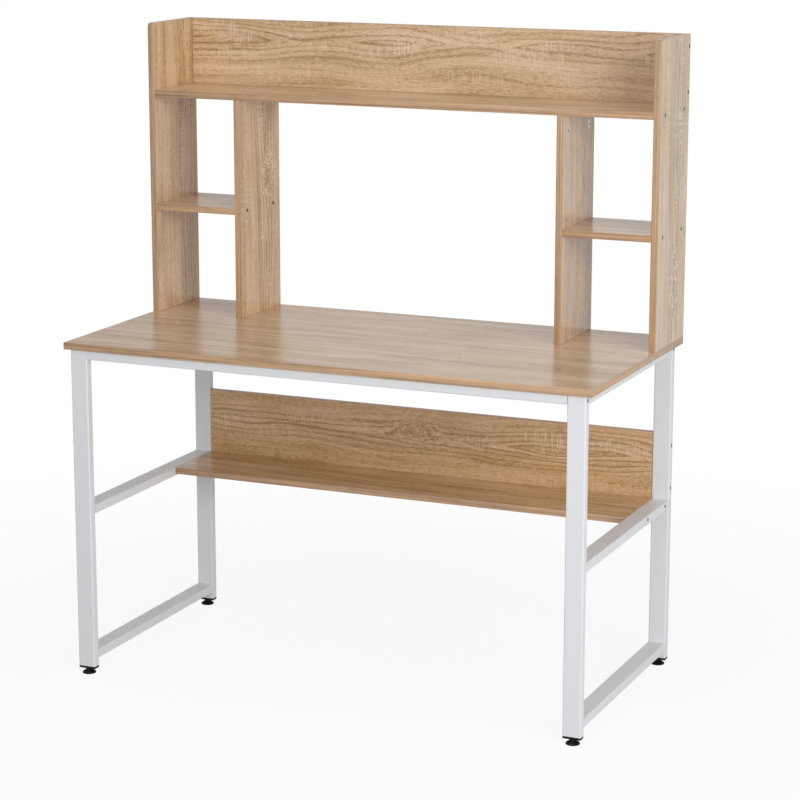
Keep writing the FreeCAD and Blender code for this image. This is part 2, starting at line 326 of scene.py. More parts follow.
# %% [markdown]
# Three large soft lamps shape the desk. The strongest stands in front of it on the right, so the front
# of the right-hand post is the brightest white and the left one a little greyer. A weaker one straight
# in front opens the shadows, and one overhead brightens what lies above the shelves. All are large and
# far off, so no hard shadow falls across the boards.

# %% Soft lamps
lamps = {
    "key_lamp": ((4.3, -3.3, 2.1), 3.0, 172.0),
    "fill_lamp": ((0.0, -5.5, 2.0), 3.0, 42.0),
    "top_lamp": ((0.2, -1.0, 4.0), 2.5, 25.0),
}
lit_point = Vector((0.0, 0.0, 0.75))
for name, (place, width, power) in lamps.items():
    bpy.ops.object.light_add(type="AREA", location=place)
    lamp = bpy.context.object
    lamp.name = name
    lamp.data.size = width
    lamp.data.energy = power
    lamp.rotation_euler = (lit_point - lamp.location).to_track_quat("-Z", "Y").to_euler()
    print(name, power, "watts")

# %% [markdown]
# The boards are chipboard faced with a printed oak film. The print shows a log sawn lengthwise near its
# heart: pointed arches nested along one line of the board, and straighter grain further out. Arithmetic
# can draw that. The ring of a point is its distance across the board from the heart line, plus a depth
# that wanders along the board and counts for less further out. Where the depth falls below zero the
# rings close into long eyes. All of it is one node group, which every board shares.

# %% Heart line of the log
heart_round = 0.003
heart_reach = 0.045
heart_sway = 0.05
heart_sway_cells = (2.5, 9.0, 0.0)
oak_strengths = ("Figure", "Saw marks", "Curls", "Broad grain", "Fine grain", "Saturation")
film_outputs = [("Color", "Color"), ("Roughness", "Float"), ("Height", "Float")]

oak_print, given, result = new_group(
    "oak_print",
    [("Vector", "Vector"), ("Knot", "Vector")] + [(name, "Float") for name in oak_strengths],
    film_outputs,
)
tree = oak_print
board_point = given["Vector"]
apart = tree.nodes.new("ShaderNodeSeparateXYZ")
feed(apart.inputs[0], board_point)
along = apart.outputs["X"]
wander = noise(tree, board_point, heart_sway_cells)
across = weighted(tree, apart.outputs["Y"], [(wander, heart_sway)])
squared = sums(tree, "MULTIPLY", across, across)
from_heart = sums(tree, "SQRT", sums(tree, "ADD", squared, heart_round ** 2))
further_out = sums(tree, "POWER", sums(tree, "DIVIDE", from_heart, heart_reach), 2.0)
print("heart line drawn by", len(tree.nodes), "nodes")

# %% [markdown]
# A knot is one more eye: a place where the depth drops. It fades out from its middle like a bell, with
# a little over a third of it left at its edge, and a cloud of noise makes that edge ragged. A board that
# has no knot gives a place far outside itself.

# %% Knot and rings
knot_length, knot_width = 0.045, 0.028
knot_spread = (1 / knot_length, 1 / knot_width, 0.0)
knot_ragged = 1.4
knot_ragged_cells = (45.0, 60.0, 0.0)
knot_left_at_edge = 0.37
knot_depth = 0.04
heart_swing = 0.15
heart_swing_cells = (1.9, 0.0, 0.0)

from_knot = vector_sums(tree, "SUBTRACT", board_point, given["Knot"])
from_knot = vector_sums(tree, "LENGTH", vector_sums(tree, "MULTIPLY", from_knot, knot_spread))
from_knot = weighted(tree, from_knot, [(noise(tree, board_point, knot_ragged_cells), knot_ragged)])
in_knot = sums(tree, "POWER", knot_left_at_edge, sums(tree, "POWER", from_knot, 2.0))
swinging = noise(tree, board_point, heart_swing_cells, detail=1.0)
depth = weighted(tree, 0.0, [(swinging, heart_swing)])
depth = sums(tree, "SUBTRACT", depth, sums(tree, "MULTIPLY", in_knot, knot_depth))
depth = sums(tree, "DIVIDE", depth, sums(tree, "ADD", further_out, 1.0))
ring = sums(tree, "ADD", from_heart, depth)
print("rings drawn by", len(tree.nodes), "nodes")

# %% [markdown]
# Grain drawn in two coordinates, along the board and from ring to ring, follows the arches by itself. It
# is four clouds of noise, from broad bands to fine pores, all much longer than they are wide, over a
# fifth that only makes some parts of the board darker. In the paler parts short flecks cross the grain
# at a slant, as the rays of sawn oak do.

# %% Grain along the rings
band_cells = (1.8, 40.0, 1.0)
streak_cells = (5.0, 170.0, 1.0)
dash_cells = (50.0, 500.0, 1.0)
pore_cells = (95.0, 800.0, 1.0)
shade_cells = (5.0, 11.0, 0.0)
band_weight, shade_weight = 0.8, 0.5
streak_weight, dash_weight, pore_weight = 0.65, 0.9, 1.0
fleck_cells = (75.0, 330.0, 0.0)
fleck_slant = math.radians(30)
fleck_weight = 0.5
pale_from, pale_full = 0.42, 0.58

ring_place = tree.nodes.new("ShaderNodeCombineXYZ")
for socket, value in zip(ring_place.inputs, (along, ring, sums(tree, "SIGN", across))):
    feed(socket, value)
grain_point = ring_place.outputs[0]
bands = noise(tree, grain_point, band_cells)
streaks = noise(tree, grain_point, streak_cells, detail=3.0, roughness=0.6)
dashes = noise(tree, grain_point, dash_cells, detail=3.0, roughness=0.65)
pores = noise(tree, grain_point, pore_cells)
shade = noise(tree, board_point, shade_cells)
broad = weighted(tree, 0.0, [(bands, band_weight), (shade, shade_weight)])
fine = weighted(tree, 0.0, [(streaks, streak_weight), (dashes, dash_weight), (pores, pore_weight)])
slanted = turned(tree, board_point, (0.0, 0.0, fleck_slant))
flecks = weighted(tree, 0.0, [(noise(tree, slanted, fleck_cells), fleck_weight)])
flecks = sums(tree, "MULTIPLY", flecks, step_up(tree, shade, pale_from, pale_full))
print("grain brings that to", len(tree.nodes), "nodes")

# %% [markdown]
# Near the heart each ring ends in a dark line of late wood, and the eyes are dark inside. A ring's number
# is its distance divided by the spacing of the rings, and the fraction of that runs from 0 to 1 across
# one ring. A mask that rises slowly and drops at once gives the line one soft and one sharp side, and the
# dashes break it up. Lines, grain and flecks make one tone, and a ramp turns that into the colours of
# oak. Their strengths are inputs of the group, because each board shows more of one or the other.

# %% Late wood and the tone of the oak
oak_dark = (0.37, 0.222, 0.105, 1)
oak_middle = (0.62, 0.420, 0.244, 1)
oak_light = (0.79, 0.580, 0.408, 1)
oak_stops = [(0.2, oak_dark), (0.5, oak_middle), (0.8, oak_light)]
usual_tone = 0.53
ring_spacing = 0.013
ring_sway = 0.8
ring_sway_cells = (3.0, 60.0, 1.0)
late_from, late_full = 0.45, 0.92
lines_reach = 0.06
eye_rim, eye_middle = -0.012, -0.03
figure_breaks = -1.2
figure_darkness = 0.36

swaying = noise(tree, grain_point, ring_sway_cells)
ring_number = weighted(tree, sums(tree, "DIVIDE", ring, ring_spacing), [(swaying, ring_sway)])
in_ring = sums(tree, "FRACT", ring_number)
rise = step_up(tree, in_ring, late_from, late_full)
drop = step_up(tree, in_ring, 1.0, late_full)
late_wood = sums(tree, "MULTIPLY", rise, drop)
lines = sums(tree, "MULTIPLY", late_wood, step_up(tree, ring, lines_reach, 0.0))
eyes = sums(tree, "MAXIMUM", lines, step_up(tree, ring, eye_rim, eye_middle))
figure = sums(tree, "MULTIPLY", eyes, weighted(tree, 1.0, [(dashes, figure_breaks)]))
figure = sums(tree, "MULTIPLY", figure, given["Figure"])
tone = sums(tree, "ADD", sums(tree, "MULTIPLY", broad, given["Broad grain"]), usual_tone)
tone = sums(tree, "ADD", tone, sums(tree, "MULTIPLY", fine, given["Fine grain"]))
tone = sums(tree, "ADD", tone, sums(tree, "MULTIPLY", flecks, given["Saw marks"]))
tone = sums(tree, "SUBTRACT", tone, sums(tree, "MULTIPLY", figure, figure_darkness))
wood = ramp(tree, tone, oak_stops)
print("rings", ring_spacing, "metres apart,", len(tree.nodes), "nodes so far")

# %% [markdown]
# The print also copies the marks of the saw: short pale bars across the grain and thin scratches along
# it, in patches that are strongest near the heart line. Each is noise, squeezed in one direction and cut
# off at a threshold, so no two marks are alike.

# %% Saw marks
bar_cells = (290.0, 20.0, 0.0)
bar_from, bar_full = 0.47, 0.66
scratch_cells = (24.0, 300.0, 0.0)
scratch_from, scratch_full = 0.50, 0.68
scratch_share = 0.5
patch_cells = (6.5, 22.0, 0.0)
patch_from, patch_full = 0.51, 0.59
patch_ragged = 0.3
patch_ragged_cells = (170.0, 30.0, 0.0)
marks_reach = 0.04
marks_elsewhere = 0.45
marks_share = 0.8

bars = step_up(tree, noise(tree, board_point, bar_cells, detail=1.0), bar_from, bar_full)
scratches = noise(tree, board_point, scratch_cells, detail=1.0)
scratches = step_up(tree, scratches, scratch_from, scratch_full)
marks = sums(tree, "MAXIMUM", bars, sums(tree, "MULTIPLY", scratches, scratch_share))
ragged = noise(tree, board_point, patch_ragged_cells)
patches = noise(tree, board_point, patch_cells, detail=1.0)
patches = weighted(tree, patches, [(ragged, patch_ragged)])
marks = sums(tree, "MULTIPLY", marks, step_up(tree, patches, patch_from, patch_full))
at_heart = sums(tree, "MULTIPLY", step_up(tree, ring, marks_reach, 0.0), 1 - marks_elsewhere)
marks = sums(tree, "MULTIPLY", marks, sums(tree, "ADD", at_heart, marks_elsewhere))
marks = sums(tree, "MULTIPLY", sums(tree, "MULTIPLY", marks, marks_share), given["Saw marks"])
print("saw marks bring that to", len(tree.nodes), "nodes")

# %% [markdown]
# Round a knot the marks curl: a pale line runs wherever a cloud of noise passes its middle value, like a
# contour line on a map. Curls have a strength of their own, because not every knot shows them. The film
# is pressed with the same dashes and pores that it is printed with, so the dark ones lie a little deeper
# and are duller than the wood between them.

# %% Curls round a knot and the finished film
saw_pale = (0.80, 0.62, 0.46, 1)
curl_cells = (38.0, 55.0, 0.0)
curl_edge, curl_middle = 0.06, 0.01
curls_from, curls_full = 0.02, 0.25
film_roughness = 0.24
dash_gloss, pore_gloss = -0.12, -0.10
film_height = 0.5
dash_height, pore_height = 0.6, 0.8

contour = noise(tree, board_point, curl_cells, detail=1.0, distortion=1.5)
contour = sums(tree, "ABSOLUTE", sums(tree, "SUBTRACT", contour, cloud_middle))
round_knot = step_up(tree, in_knot, curls_from, curls_full)
curls = sums(tree, "MULTIPLY", step_up(tree, contour, curl_edge, curl_middle), round_knot)
marks = sums(tree, "MAXIMUM", marks, sums(tree, "MULTIPLY", curls, given["Curls"]))

# The Saturation input makes a board's print paler or richer; on some boards that is painted sheen or
# painted shade.
film = tree.nodes.new("ShaderNodeHueSaturation")
feed(film.inputs["Saturation"], given["Saturation"])
feed(film.inputs["Color"], blend_colours(tree, marks, wood, saw_pale))
feed(result["Color"], film.outputs[0])
feed(result["Roughness"], weighted(tree, film_roughness, [(dashes, dash_gloss), (pores, pore_gloss)]))
feed(result["Height"], weighted(tree, film_height, [(dashes, dash_height), (pores, pore_height)]))
print("oak print group with", len(tree.nodes), "nodes")

# %% [markdown]
# Each board takes the print in its own way. A flat board's grain runs along X as it is. A board that
# stands across the desk has its coordinates turned about X, and one that stands from front to rear
# has them turned about Y, so that its grain runs upwards. The film has the gloss of a varnish, so its
# shader takes a varnish's index of refraction.

# %% Oak on one board
lying = (0.0, 0.0, 0.0)
standing_across = (-math.pi / 2, 0.0, 0.0)
standing_lengthwise = (0.0, math.pi / 2, 0.0)
far_off = (-50.0, 0.0, 0.0)
film_ior = 1.5
film_bump, film_bump_depth = 0.12, 0.0004
board_turns = {}


def dress(node_name, material):
    """Gives a CAD piece a finish, in every material slot that it has."""
    for slot in nodes[node_name].material_slots:
        slot.material = material


def oak_board(board, turn, shift, figure, saw_marks, broad, fine,
              saturation=1.0, knot=far_off, curls=0.0):
    """Faces a board with its own part of the oak print."""
    material, tree, shader, coordinates = new_material(f"oak_{board}")
    oak = place_group(tree, oak_print, turned(tree, coordinates, turn, shift), {
        "Knot": knot, "Figure": figure, "Saw marks": saw_marks, "Curls": curls,
        "Broad grain": broad, "Fine grain": fine, "Saturation": saturation,
    })
    feed(shader.inputs["Base Color"], oak["Color"])
    feed(shader.inputs["Roughness"], oak["Roughness"])
    shader.inputs["IOR"].default_value = film_ior
    bump(tree, shader, oak["Height"], film_bump, film_bump_depth)
    dress(board, material)
    board_turns[board] = turn


print("oak for boards that lie, stand across or stand lengthwise")

# %% [markdown]
# A shift moves each board to another part of the print, and sets how far the heart of the log lies from
# the middle of the board, so no two boards look alike. The flat boards are quiet and straight in grain.
# The standing ones show more figure and more saw marks, and three of them show a knot. Some boards also
# have a print paler or richer in colour than the rest, and that is painted light: paler is painted sheen,
# and richer is painted shade.

# %% Oak on every board
oak_board("desktop", lying, (0.3, 0.16, 0.0),
          figure=0.45, saw_marks=0.3, broad=1.1, fine=0.8)
oak_board("long_shelf", lying, (4.1, -0.12, 0.3),
          figure=0.3, saw_marks=0.2, broad=1.0, fine=0.8)
# Its print is made richer in colour, Saturation 1.15, as painted shade under the desktop.
oak_board("lower_shelf", lying, (7.3, -0.2, 0.5),
          figure=0.5, saw_marks=0.3, broad=1.2, fine=0.9, saturation=1.15)
oak_board("small_shelf_left", lying, (11.2, -0.1, 0.8),
          figure=0.3, saw_marks=0.1, broad=1.2, fine=0.8)
oak_board("small_shelf_right", lying, (13.7, -0.1, 0.9),
          figure=0.3, saw_marks=0.1, broad=1.0, fine=0.8, saturation=0.96)
oak_board("hutch_back", standing_across, (1.78, -1.355, 1.2),
          figure=0.9, saw_marks=1.0, broad=0.9, fine=0.9)
# Its print is made richer in colour, Saturation 1.12, as painted shade under the desktop.
oak_board("lower_back", standing_across, (5.2, -0.468, 1.7),
          figure=1.15, saw_marks=0.9, broad=0.8, fine=1.0, saturation=1.12,
          knot=(5.176, 0.015, 0.0), curls=0.3)
oak_board("hutch_side_left", standing_lengthwise, (1.3, -0.24, 2.1),
          figure=0.9, saw_marks=0.6, broad=1.15, fine=0.85)
# Its print is made paler, Saturation 0.88, as painted sheen of the white studio on this face.
oak_board("hutch_side_right", standing_lengthwise, (4.3, -0.22, 2.5),
          figure=1.2, saw_marks=1.0, broad=1.0, fine=0.55, saturation=0.88,
          knot=(5.17, 0.0, 0.0), curls=0.9)
# Its print is made a little richer in colour, Saturation 1.06, as painted shade under the long shelf.
oak_board("upright_left", standing_lengthwise, (6.9, -0.225, 2.9),
          figure=1.3, saw_marks=1.3, broad=1.0, fine=0.65, saturation=1.06,
          knot=(7.95, 0.02, 0.0), curls=1.0)
# Its print is made paler, Saturation 0.84, as painted sheen of the white studio on this face.
oak_board("upright_right", standing_lengthwise, (8.9, -0.24, 3.3),
          figure=0.6, saw_marks=0.4, broad=1.0, fine=0.65, saturation=0.84)
print(len(board_turns), "boards faced with oak")

# %% [markdown]
# The edges of the boards are closed with glued bands, a little browner than the faces, with streaks
# along their length. The streaks are noise that changes fast through the board's thickness and slowly
# along it. The thickness lies along another axis for each way that a board stands, so each way has its
# own finish: the same print, turned as the face of the board is.

# %% Edge band finish
band_dark = (0.37, 0.200, 0.092, 1)
band_grey = (0.47, 0.305, 0.185, 1)
band_light = (0.66, 0.400, 0.220, 1)
band_stops = [(0.15, band_dark), (0.45, band_grey), (0.85, band_light)]
band_line_cells = (2.5, 2.5, 330.0)
band_cloud_cells = (30.0, 30.0, 120.0)
usual_band_tone = 0.5
band_line_weight, band_cloud_weight = 1.8, 0.5
band_roughness, band_line_gloss = 0.33, 0.15
band_bump, band_bump_depth = 0.08, 0.0003

band_print, given, result = new_group("band_print", [("Vector", "Vector")], film_outputs)
lines = noise(band_print, given["Vector"], band_line_cells, roughness=0.55)
clouds = noise(band_print, given["Vector"], band_cloud_cells)
band_parts = [(lines, band_line_weight), (clouds, band_cloud_weight)]
band_tone = weighted(band_print, usual_band_tone, band_parts)
feed(result["Color"], ramp(band_print, band_tone, band_stops))
feed(result["Roughness"], weighted(band_print, band_roughness, [(lines, band_line_gloss)]))
feed(result["Height"], lines)


def band_material(name, turn):
    """A finish for the bands of all boards that stand one way."""
    material, tree, shader, coordinates = new_material(name)
    printed = place_group(tree, band_print, turned(tree, coordinates, turn), {})
    feed(shader.inputs["Base Color"], printed["Color"])
    feed(shader.inputs["Roughness"], printed["Roughness"])
    bump(tree, shader, printed["Height"], band_bump, band_bump_depth)
    return material


band_finishes = {
    lying: band_material("oak_band_lying", lying),
    standing_across: band_material("oak_band_across", standing_across),
    standing_lengthwise: band_material("oak_band_lengthwise", standing_lengthwise),
}
print(len(band_finishes), "edge band finishes")

# %% [markdown]
# New pieces are shaped in edit mode with operators, as by hand. An operator acts on what is selected, so
# `pick` selects faces or edges by a test, and `close_edit` leaves edit mode with the normals outwards.
# `hand_over` then names the piece, gives it its finish, and tells the frame which body it rides on.

# %% Modelling helpers
def pick(piece, kind, wanted):
    """In edit mode, selects only the faces or edges that pass a test."""
    bpy.ops.mesh.select_mode(type={"faces": "FACE", "edges": "EDGE"}[kind])
    bpy.ops.mesh.select_all(action="DESELECT")
    mesh = bmesh.from_edit_mesh(piece.data)
    for part in getattr(mesh, kind):
        if wanted(part):
            part.select_set(True)
    bmesh.update_edit_mesh(piece.data)


def close_edit(smooth_angle):
    """Leaves edit mode with the normals outwards and the curved faces smooth."""
    bpy.ops.mesh.select_all(action="SELECT")
    bpy.ops.mesh.normals_make_consistent(inside=False)
    bpy.ops.object.mode_set(mode="OBJECT")
    bpy.ops.object.shade_smooth_by_angle(angle=smooth_angle)


def hand_over(piece, name, body, finish):
    """Names a finished piece, gives it its finish and tells the frame what it rides on."""
    piece.name = name
    piece.data.name = name
    piece.data.materials.clear()
    piece.data.materials.append(finish)
    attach(piece, body)


print("modelling helpers ready")

# %% [markdown]
# On the real board the band's corners are scraped round, and that thin round edge catches the light. The
# frame's bands have sharp corners, so each one is modelled again. A block of the board's size has its
# sharp edges bevelled, its two faces inset by the rest of the band's thickness, and the inset faces
# bridged through the board, which leaves a hollow ring. The sides of the hutch also have their upper
# front corner rounded, which is bevelled first.

# %% Rounded edge bands
band_thickness = 0.001
band_rounding = 0.0006
rounding_steps = 2
side_corner_radius = 0.010
side_corner_steps = 8
sharp = math.radians(40)
squarely = 0.99
tiny = 1e-5


def rounded_band(board, corner_radius):
    """The band of one board, with its corners scraped round."""
    low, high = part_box(f"{board}_edge_band")
    size = high - low
    thin = min(range(3), key=lambda axis: size[axis])
    start_clear()
    bpy.ops.mesh.primitive_cube_add(size=1, location=(low + high) / 2, scale=size)
    band = bpy.context.object
    bpy.ops.object.transform_apply(location=True, rotation=True, scale=True)
    bpy.ops.object.mode_set(mode="EDIT")
    if corner_radius:
        pick(band, "edges", lambda edge: all(
            corner.co.y < low.y + tiny and corner.co.z > high.z - tiny for corner in edge.verts
        ))
        bpy.ops.mesh.bevel(offset=corner_radius, segments=side_corner_steps, affect="EDGES")
    bpy.ops.mesh.select_all(action="DESELECT")
    bpy.ops.mesh.edges_select_sharp(sharpness=sharp)
    bpy.ops.mesh.bevel(offset=band_rounding, segments=rounding_steps, affect="EDGES")
    pick(band, "faces", lambda face: abs(face.normal[thin]) > squarely)
    bpy.ops.mesh.inset(thickness=band_thickness - band_rounding)
    bpy.ops.mesh.bridge_edge_loops()
    close_edit(sharp)
    return band


for board, turn in board_turns.items():
    corner = side_corner_radius if board.startswith("hutch_side") else 0.0
    band = rounded_band(board, corner)
    hand_over(band, f"{board}_rounded_band", "desk", band_finishes[turn])
    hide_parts(f"{board}_edge_band")
    print(band.name, len(band.data.polygons), "faces")

# %% [markdown]
# The frame is welded from steel tube and powder coated white. Powder coating flows as it bakes and sets
# with a faint dimple, like orange peel, so its gloss is soft. The feet and the caps of the posts are
# moulded in black plastic with a fine grain. One group of small bumps serves both, and the steel
# fittings too, each with its own grain size.

# %% Grain of a coat
grain_share = (1.0, 1.0, 1.0)
tone_share = (0.013, 0.013, 0.013)
tone_gloss = 0.15

surface_grain, given, result = new_group(
    "surface_grain",
    [("Vector", "Vector"), ("Cells per metre", "Float")],
    [("Tone", "Float"), ("Height", "Float")],
)
finer = vector_sums(surface_grain, "MULTIPLY", given["Vector"], given["Cells per metre"])
feed(result["Height"], noise(surface_grain, finer, grain_share, detail=2.0))
feed(result["Tone"], noise(surface_grain, finer, tone_share, detail=3.0))


def grained_material(name, dark, light, roughness, cells, strength, depth, metallic=0.0, gloss=0.5):
    """A coat with slow changes of tone and gloss, and a fine grain of bumps."""
    material, tree, shader, coordinates = new_material(name)
    grain = place_group(tree, surface_grain, coordinates, {"Cells per metre": cells})
    feed(shader.inputs["Base Color"], blend_colours(tree, grain["Tone"], dark, light))
    feed(shader.inputs["Roughness"], weighted(tree, roughness, [(grain["Tone"], tone_gloss)]))
    shader.inputs["Metallic"].default_value = metallic
    shader.inputs["Specular IOR Level"].default_value = gloss
    bump(tree, shader, grain["Height"], strength, depth)
    return material


print("surface grain group with", len(surface_grain.nodes), "nodes")

# %% [markdown]
# The white has a cool tint, and its two tones are close, because a new coat is even. The plastic is nearly
# black and shines little. Most fittings are zinc plated and dull, and only the cams are cast in bright
# zinc. The frame's record says which finish slot a piece belongs to, so a loop can dress them all.

# %% Paint, plastic and steel
white_coat = grained_material(
    "white_coat", dark=(0.78, 0.79, 0.82, 1), light=(0.81, 0.82, 0.845, 1),
    roughness=0.36, cells=500.0, strength=0.06, depth=0.0003,
)
black_moulding = grained_material(
    "black_moulding", dark=(0.003, 0.003, 0.004, 1), light=(0.006, 0.006, 0.007, 1),
    roughness=0.45, cells=1500.0, strength=0.15, depth=0.0002, gloss=0.18,
)
zinc_steel = grained_material(
    "zinc_steel", dark=(0.13, 0.135, 0.155, 1), light=(0.20, 0.205, 0.23, 1),
    roughness=0.34, cells=2500.0, strength=0.10, depth=0.0001, metallic=1.0,
)
bright_zinc = grained_material(
    "bright_zinc", dark=(0.70, 0.70, 0.71, 1), light=(0.82, 0.82, 0.83, 1),
    roughness=0.26, cells=2500.0, strength=0.10, depth=0.0001, metallic=1.0,
)
finish_of_slot = {
    "white_frame": white_coat,
    "black_plastic": black_moulding,
    "steel_fittings": zinc_steel,
}
dressed = 0
for subpart in frame["record"]["subparts"]:
    finish = finish_of_slot.get(subpart["material_slot"])
    if finish:
        dress(subpart["node"], finish)
        dressed += 1
print(dressed, "coated, moulded and steel pieces dressed")

# %% [markdown]
# The fittings of the frame are plain shanks and heads. Their sockets and slots are modelled here. Each
# kind is made once, pointing up with the top of its head at the origin, then copied to every place where
# the frame has one. The places are read from the frame: a node's mesh is split into its separate
# solids, and the wider end of each solid is its head.

# %% Places of the fittings
axis_x, axis_z = 0, 2


def solids_of(node_name):
    """The corner points of each separate solid in a node."""
    mesh = bmesh.new()
    mesh.from_mesh(nodes[node_name].data)
    bmesh.ops.remove_doubles(mesh, verts=mesh.verts, dist=tiny)
    waiting = set(mesh.verts)
    solids = []
    while waiting:
        front = [waiting.pop()]
        points = []
        while front:
            corner = front.pop()
            points.append(corner.co.copy())
            linked = {edge.other_vert(corner) for edge in corner.link_edges} & waiting
            waiting -= linked
            front.extend(linked)
        solids.append(points)
    mesh.free()
    return solids


def heads_of(node_name, axis):
    """For each fitting along an axis: the middle of its head's top, the way it faces, and its length."""
    heads = []
    for points in solids_of(node_name):
        low = Vector([min(values) for values in zip(*points)])
        high = Vector([max(values) for values in zip(*points)])
        middle = (low + high) / 2
        reach = {}
        for side, level in ((-1, low[axis]), (1, high[axis])):
            end = [point for point in points if abs(point[axis] - level) < tiny]
            reach[side] = max((point - middle).length for point in end)
        side = max(reach, key=reach.get)
        top = middle.copy()
        top[axis] = high[axis] if side > 0 else low[axis]
        facing = Vector()
        facing[axis] = side
        heads.append((top, facing, high[axis] - low[axis]))
    return heads


for name, axis in (("hutch_screws", axis_x), ("panel_bolts", axis_x), ("desktop_screws", axis_z)):
    print(name, len(heads_of(name, axis)), "places")

# %% [markdown]
# A blank for a fitting starts as a cylinder. Its end faces are found by their normal and their place, and
# can then be bevelled, narrowed, inset or extruded into a shank, as on a lathe.

# %% Blanks for the fittings
round_steps = 32


def blank_head(radius, height):
    """A cylinder whose top lies at the origin, left in edit mode."""
    start_clear()
    bpy.ops.mesh.primitive_cylinder_add(
        vertices=round_steps, radius=radius, depth=height, location=(0, 0, -height / 2)
    )
    piece = bpy.context.object
    bpy.ops.object.transform_apply(location=True, rotation=True, scale=True)
    bpy.ops.object.mode_set(mode="EDIT")
    return piece


def pick_end(piece, up):
    """Selects the face at the top (1) or bottom (-1) end, which is the furthest one that way."""
    mesh = bmesh.from_edit_mesh(piece.data)
    reach = max(up * corner.co.z for corner in mesh.verts)
    pick(piece, "faces", lambda face: up * face.normal.z > squarely
         and up * face.calc_center_median().z > reach - tiny)


def draw_down(length):
    """Extrudes the selected end downwards."""
    bpy.ops.mesh.extrude_region_move(TRANSFORM_OT_translate={"value": (0, 0, -length)})


print("blanks with", round_steps, "sides")

# %% [markdown]
# A socket or a slot is the shape of the tool that fits it. A second piece of that shape is made round the
# top of the head, a Boolean modifier cuts it out, and the second piece is deleted. A screwdriver's cross
# is two bars joined into one shape, so that one cut makes the slot.

# %% Cutters for sockets and slots
hexagon_sides = 6


def cut_with(piece, cutter):
    """Cuts one shape out of another and deletes the cutter."""
    start_clear()
    bpy.context.view_layer.objects.active = piece
    piece.select_set(True)
    cut = piece.modifiers.new("cut", "BOOLEAN")
    cut.operation = "DIFFERENCE"
    cut.object = cutter
    cut.solver = "EXACT"
    bpy.ops.object.modifier_apply(modifier=cut.name)
    bpy.data.objects.remove(cutter)


def hexagon_cutter(across_flats, depth):
    """A hexagon bar that reaches as far above the origin as below it."""
    start_clear()
    bpy.ops.mesh.primitive_cylinder_add(
        vertices=hexagon_sides, radius=across_flats / math.sqrt(3), depth=2 * depth
    )
    return bpy.context.object


def flat_bar(width, slot, depth):
    """A bar that reaches as far above the origin as below it."""
    start_clear()
    bpy.ops.mesh.primitive_cube_add(size=1, scale=(width, slot, 2 * depth))
    bar = bpy.context.object
    bpy.ops.object.transform_apply(location=True, rotation=True, scale=True)
    return bar


def cross_cutter(width, slot, depth):
    """Two crossed bars, joined into one shape."""
    bar = flat_bar(width, slot, depth)
    cross = flat_bar(slot, width, depth)
    union = cross.modifiers.new("union", "BOOLEAN")
    union.operation = "UNION"
    union.object = bar
    bpy.ops.object.modifier_apply(modifier=union.name)
    bpy.data.objects.remove(bar)
    return cross


print("cutters ready")

# %% [markdown]
# The screws of the hutch and the bolts of the frame have countersunk heads that lie flush, with a hexagon
# socket: the lower end of the head is scaled to the width of the shank. The screws that hold the desktop
# down have a pan head with a cross slot: the upper rim is bevelled into a dome, and the lower end is
# inset to the width of the shank.

# %% Socket screws, bolts and pan heads
socket_size = 0.004
socket_depth = 0.0028
rim_round = 0.0004
rim_steps = 2
dome_steps = 4


def countersunk_screw(length, head_radius=0.00475, head_height=0.004, shank_radius=0.0032):
    screw = blank_head(head_radius, head_height)
    pick_end(screw, 1)
    bpy.ops.mesh.bevel(offset=rim_round, segments=rim_steps, affect="EDGES")
    pick_end(screw, -1)
    narrow = shank_radius / head_radius
    bpy.ops.transform.resize(value=(narrow, narrow, 1))
    draw_down(length - head_height)
    close_edit(sharp)
    cut_with(screw, hexagon_cutter(socket_size, socket_depth))
    return screw


def flat_bolt(length):
    return countersunk_screw(length, head_radius=0.0045, head_height=0.0015, shank_radius=0.003)


def pan_screw(length, head_radius=0.004, head_height=0.0025, shank_radius=0.002, dome=0.0012):
    screw = blank_head(head_radius, head_height)
    pick_end(screw, 1)
    bpy.ops.mesh.bevel(offset=dome, segments=dome_steps, affect="EDGES")
    pick_end(screw, -1)
    bpy.ops.mesh.inset(thickness=head_radius - shank_radius)
    draw_down(length - head_height)
    close_edit(sharp)
    cut_with(screw, cross_cutter(width=0.0040, slot=0.0009, depth=0.0014))
    return screw


print("sockets of", socket_size, "metres across flats")

# %% [markdown]
# Each fitting is made at the length that its places have, then copied, each copy with its own mesh. A
# copy's mesh is turned to face the way of its head and moved to its place, so that the object itself
# stays at the origin. The copies of one node are joined into one piece, which takes the node's place.

# %% Fittings in their places
def set_out(node_name, axis, make, finish):
    """Copies one fitting to every place of a node, and joins the copies into one piece."""
    heads = heads_of(node_name, axis)
    _, _, length = heads[0]
    first = make(length)
    start_clear()
    copies = []
    for top, facing, _ in heads:
        copy = first.copy()
        copy.data = first.data.copy()
        bpy.context.collection.objects.link(copy)
        turn = Vector((0, 0, 1)).rotation_difference(facing)
        copy.data.transform(Matrix.Translation(top) @ turn.to_matrix().to_4x4())
        copy.select_set(True)
        copies.append(copy)
    bpy.data.objects.remove(first)
    bpy.context.view_layer.objects.active = copies[0]
    bpy.ops.object.join()
    fitted = bpy.context.object
    hand_over(fitted, f"{node_name}_fitted", "desk", finish)
    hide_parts(node_name)
    print(fitted.name, len(heads), "copies,", len(fitted.data.polygons), "faces")


set_out("hutch_screws", axis_x, countersunk_screw, zinc_steel)
set_out("hutch_base_screws", axis_z, countersunk_screw, zinc_steel)
set_out("panel_bolts", axis_x, flat_bolt, zinc_steel)
set_out("cross_rail_bolts", axis_x, flat_bolt, zinc_steel)
set_out("desktop_screws", axis_z, pan_screw, zinc_steel)

# %% [markdown]
# Under each end of the long shelf, two cams pull pins down into the uprights. A cam is a zinc casting
# with a raised rim, a dished face and a cross slot for the screwdriver. The dish is the top face, inset
# by the rim and pushed down.

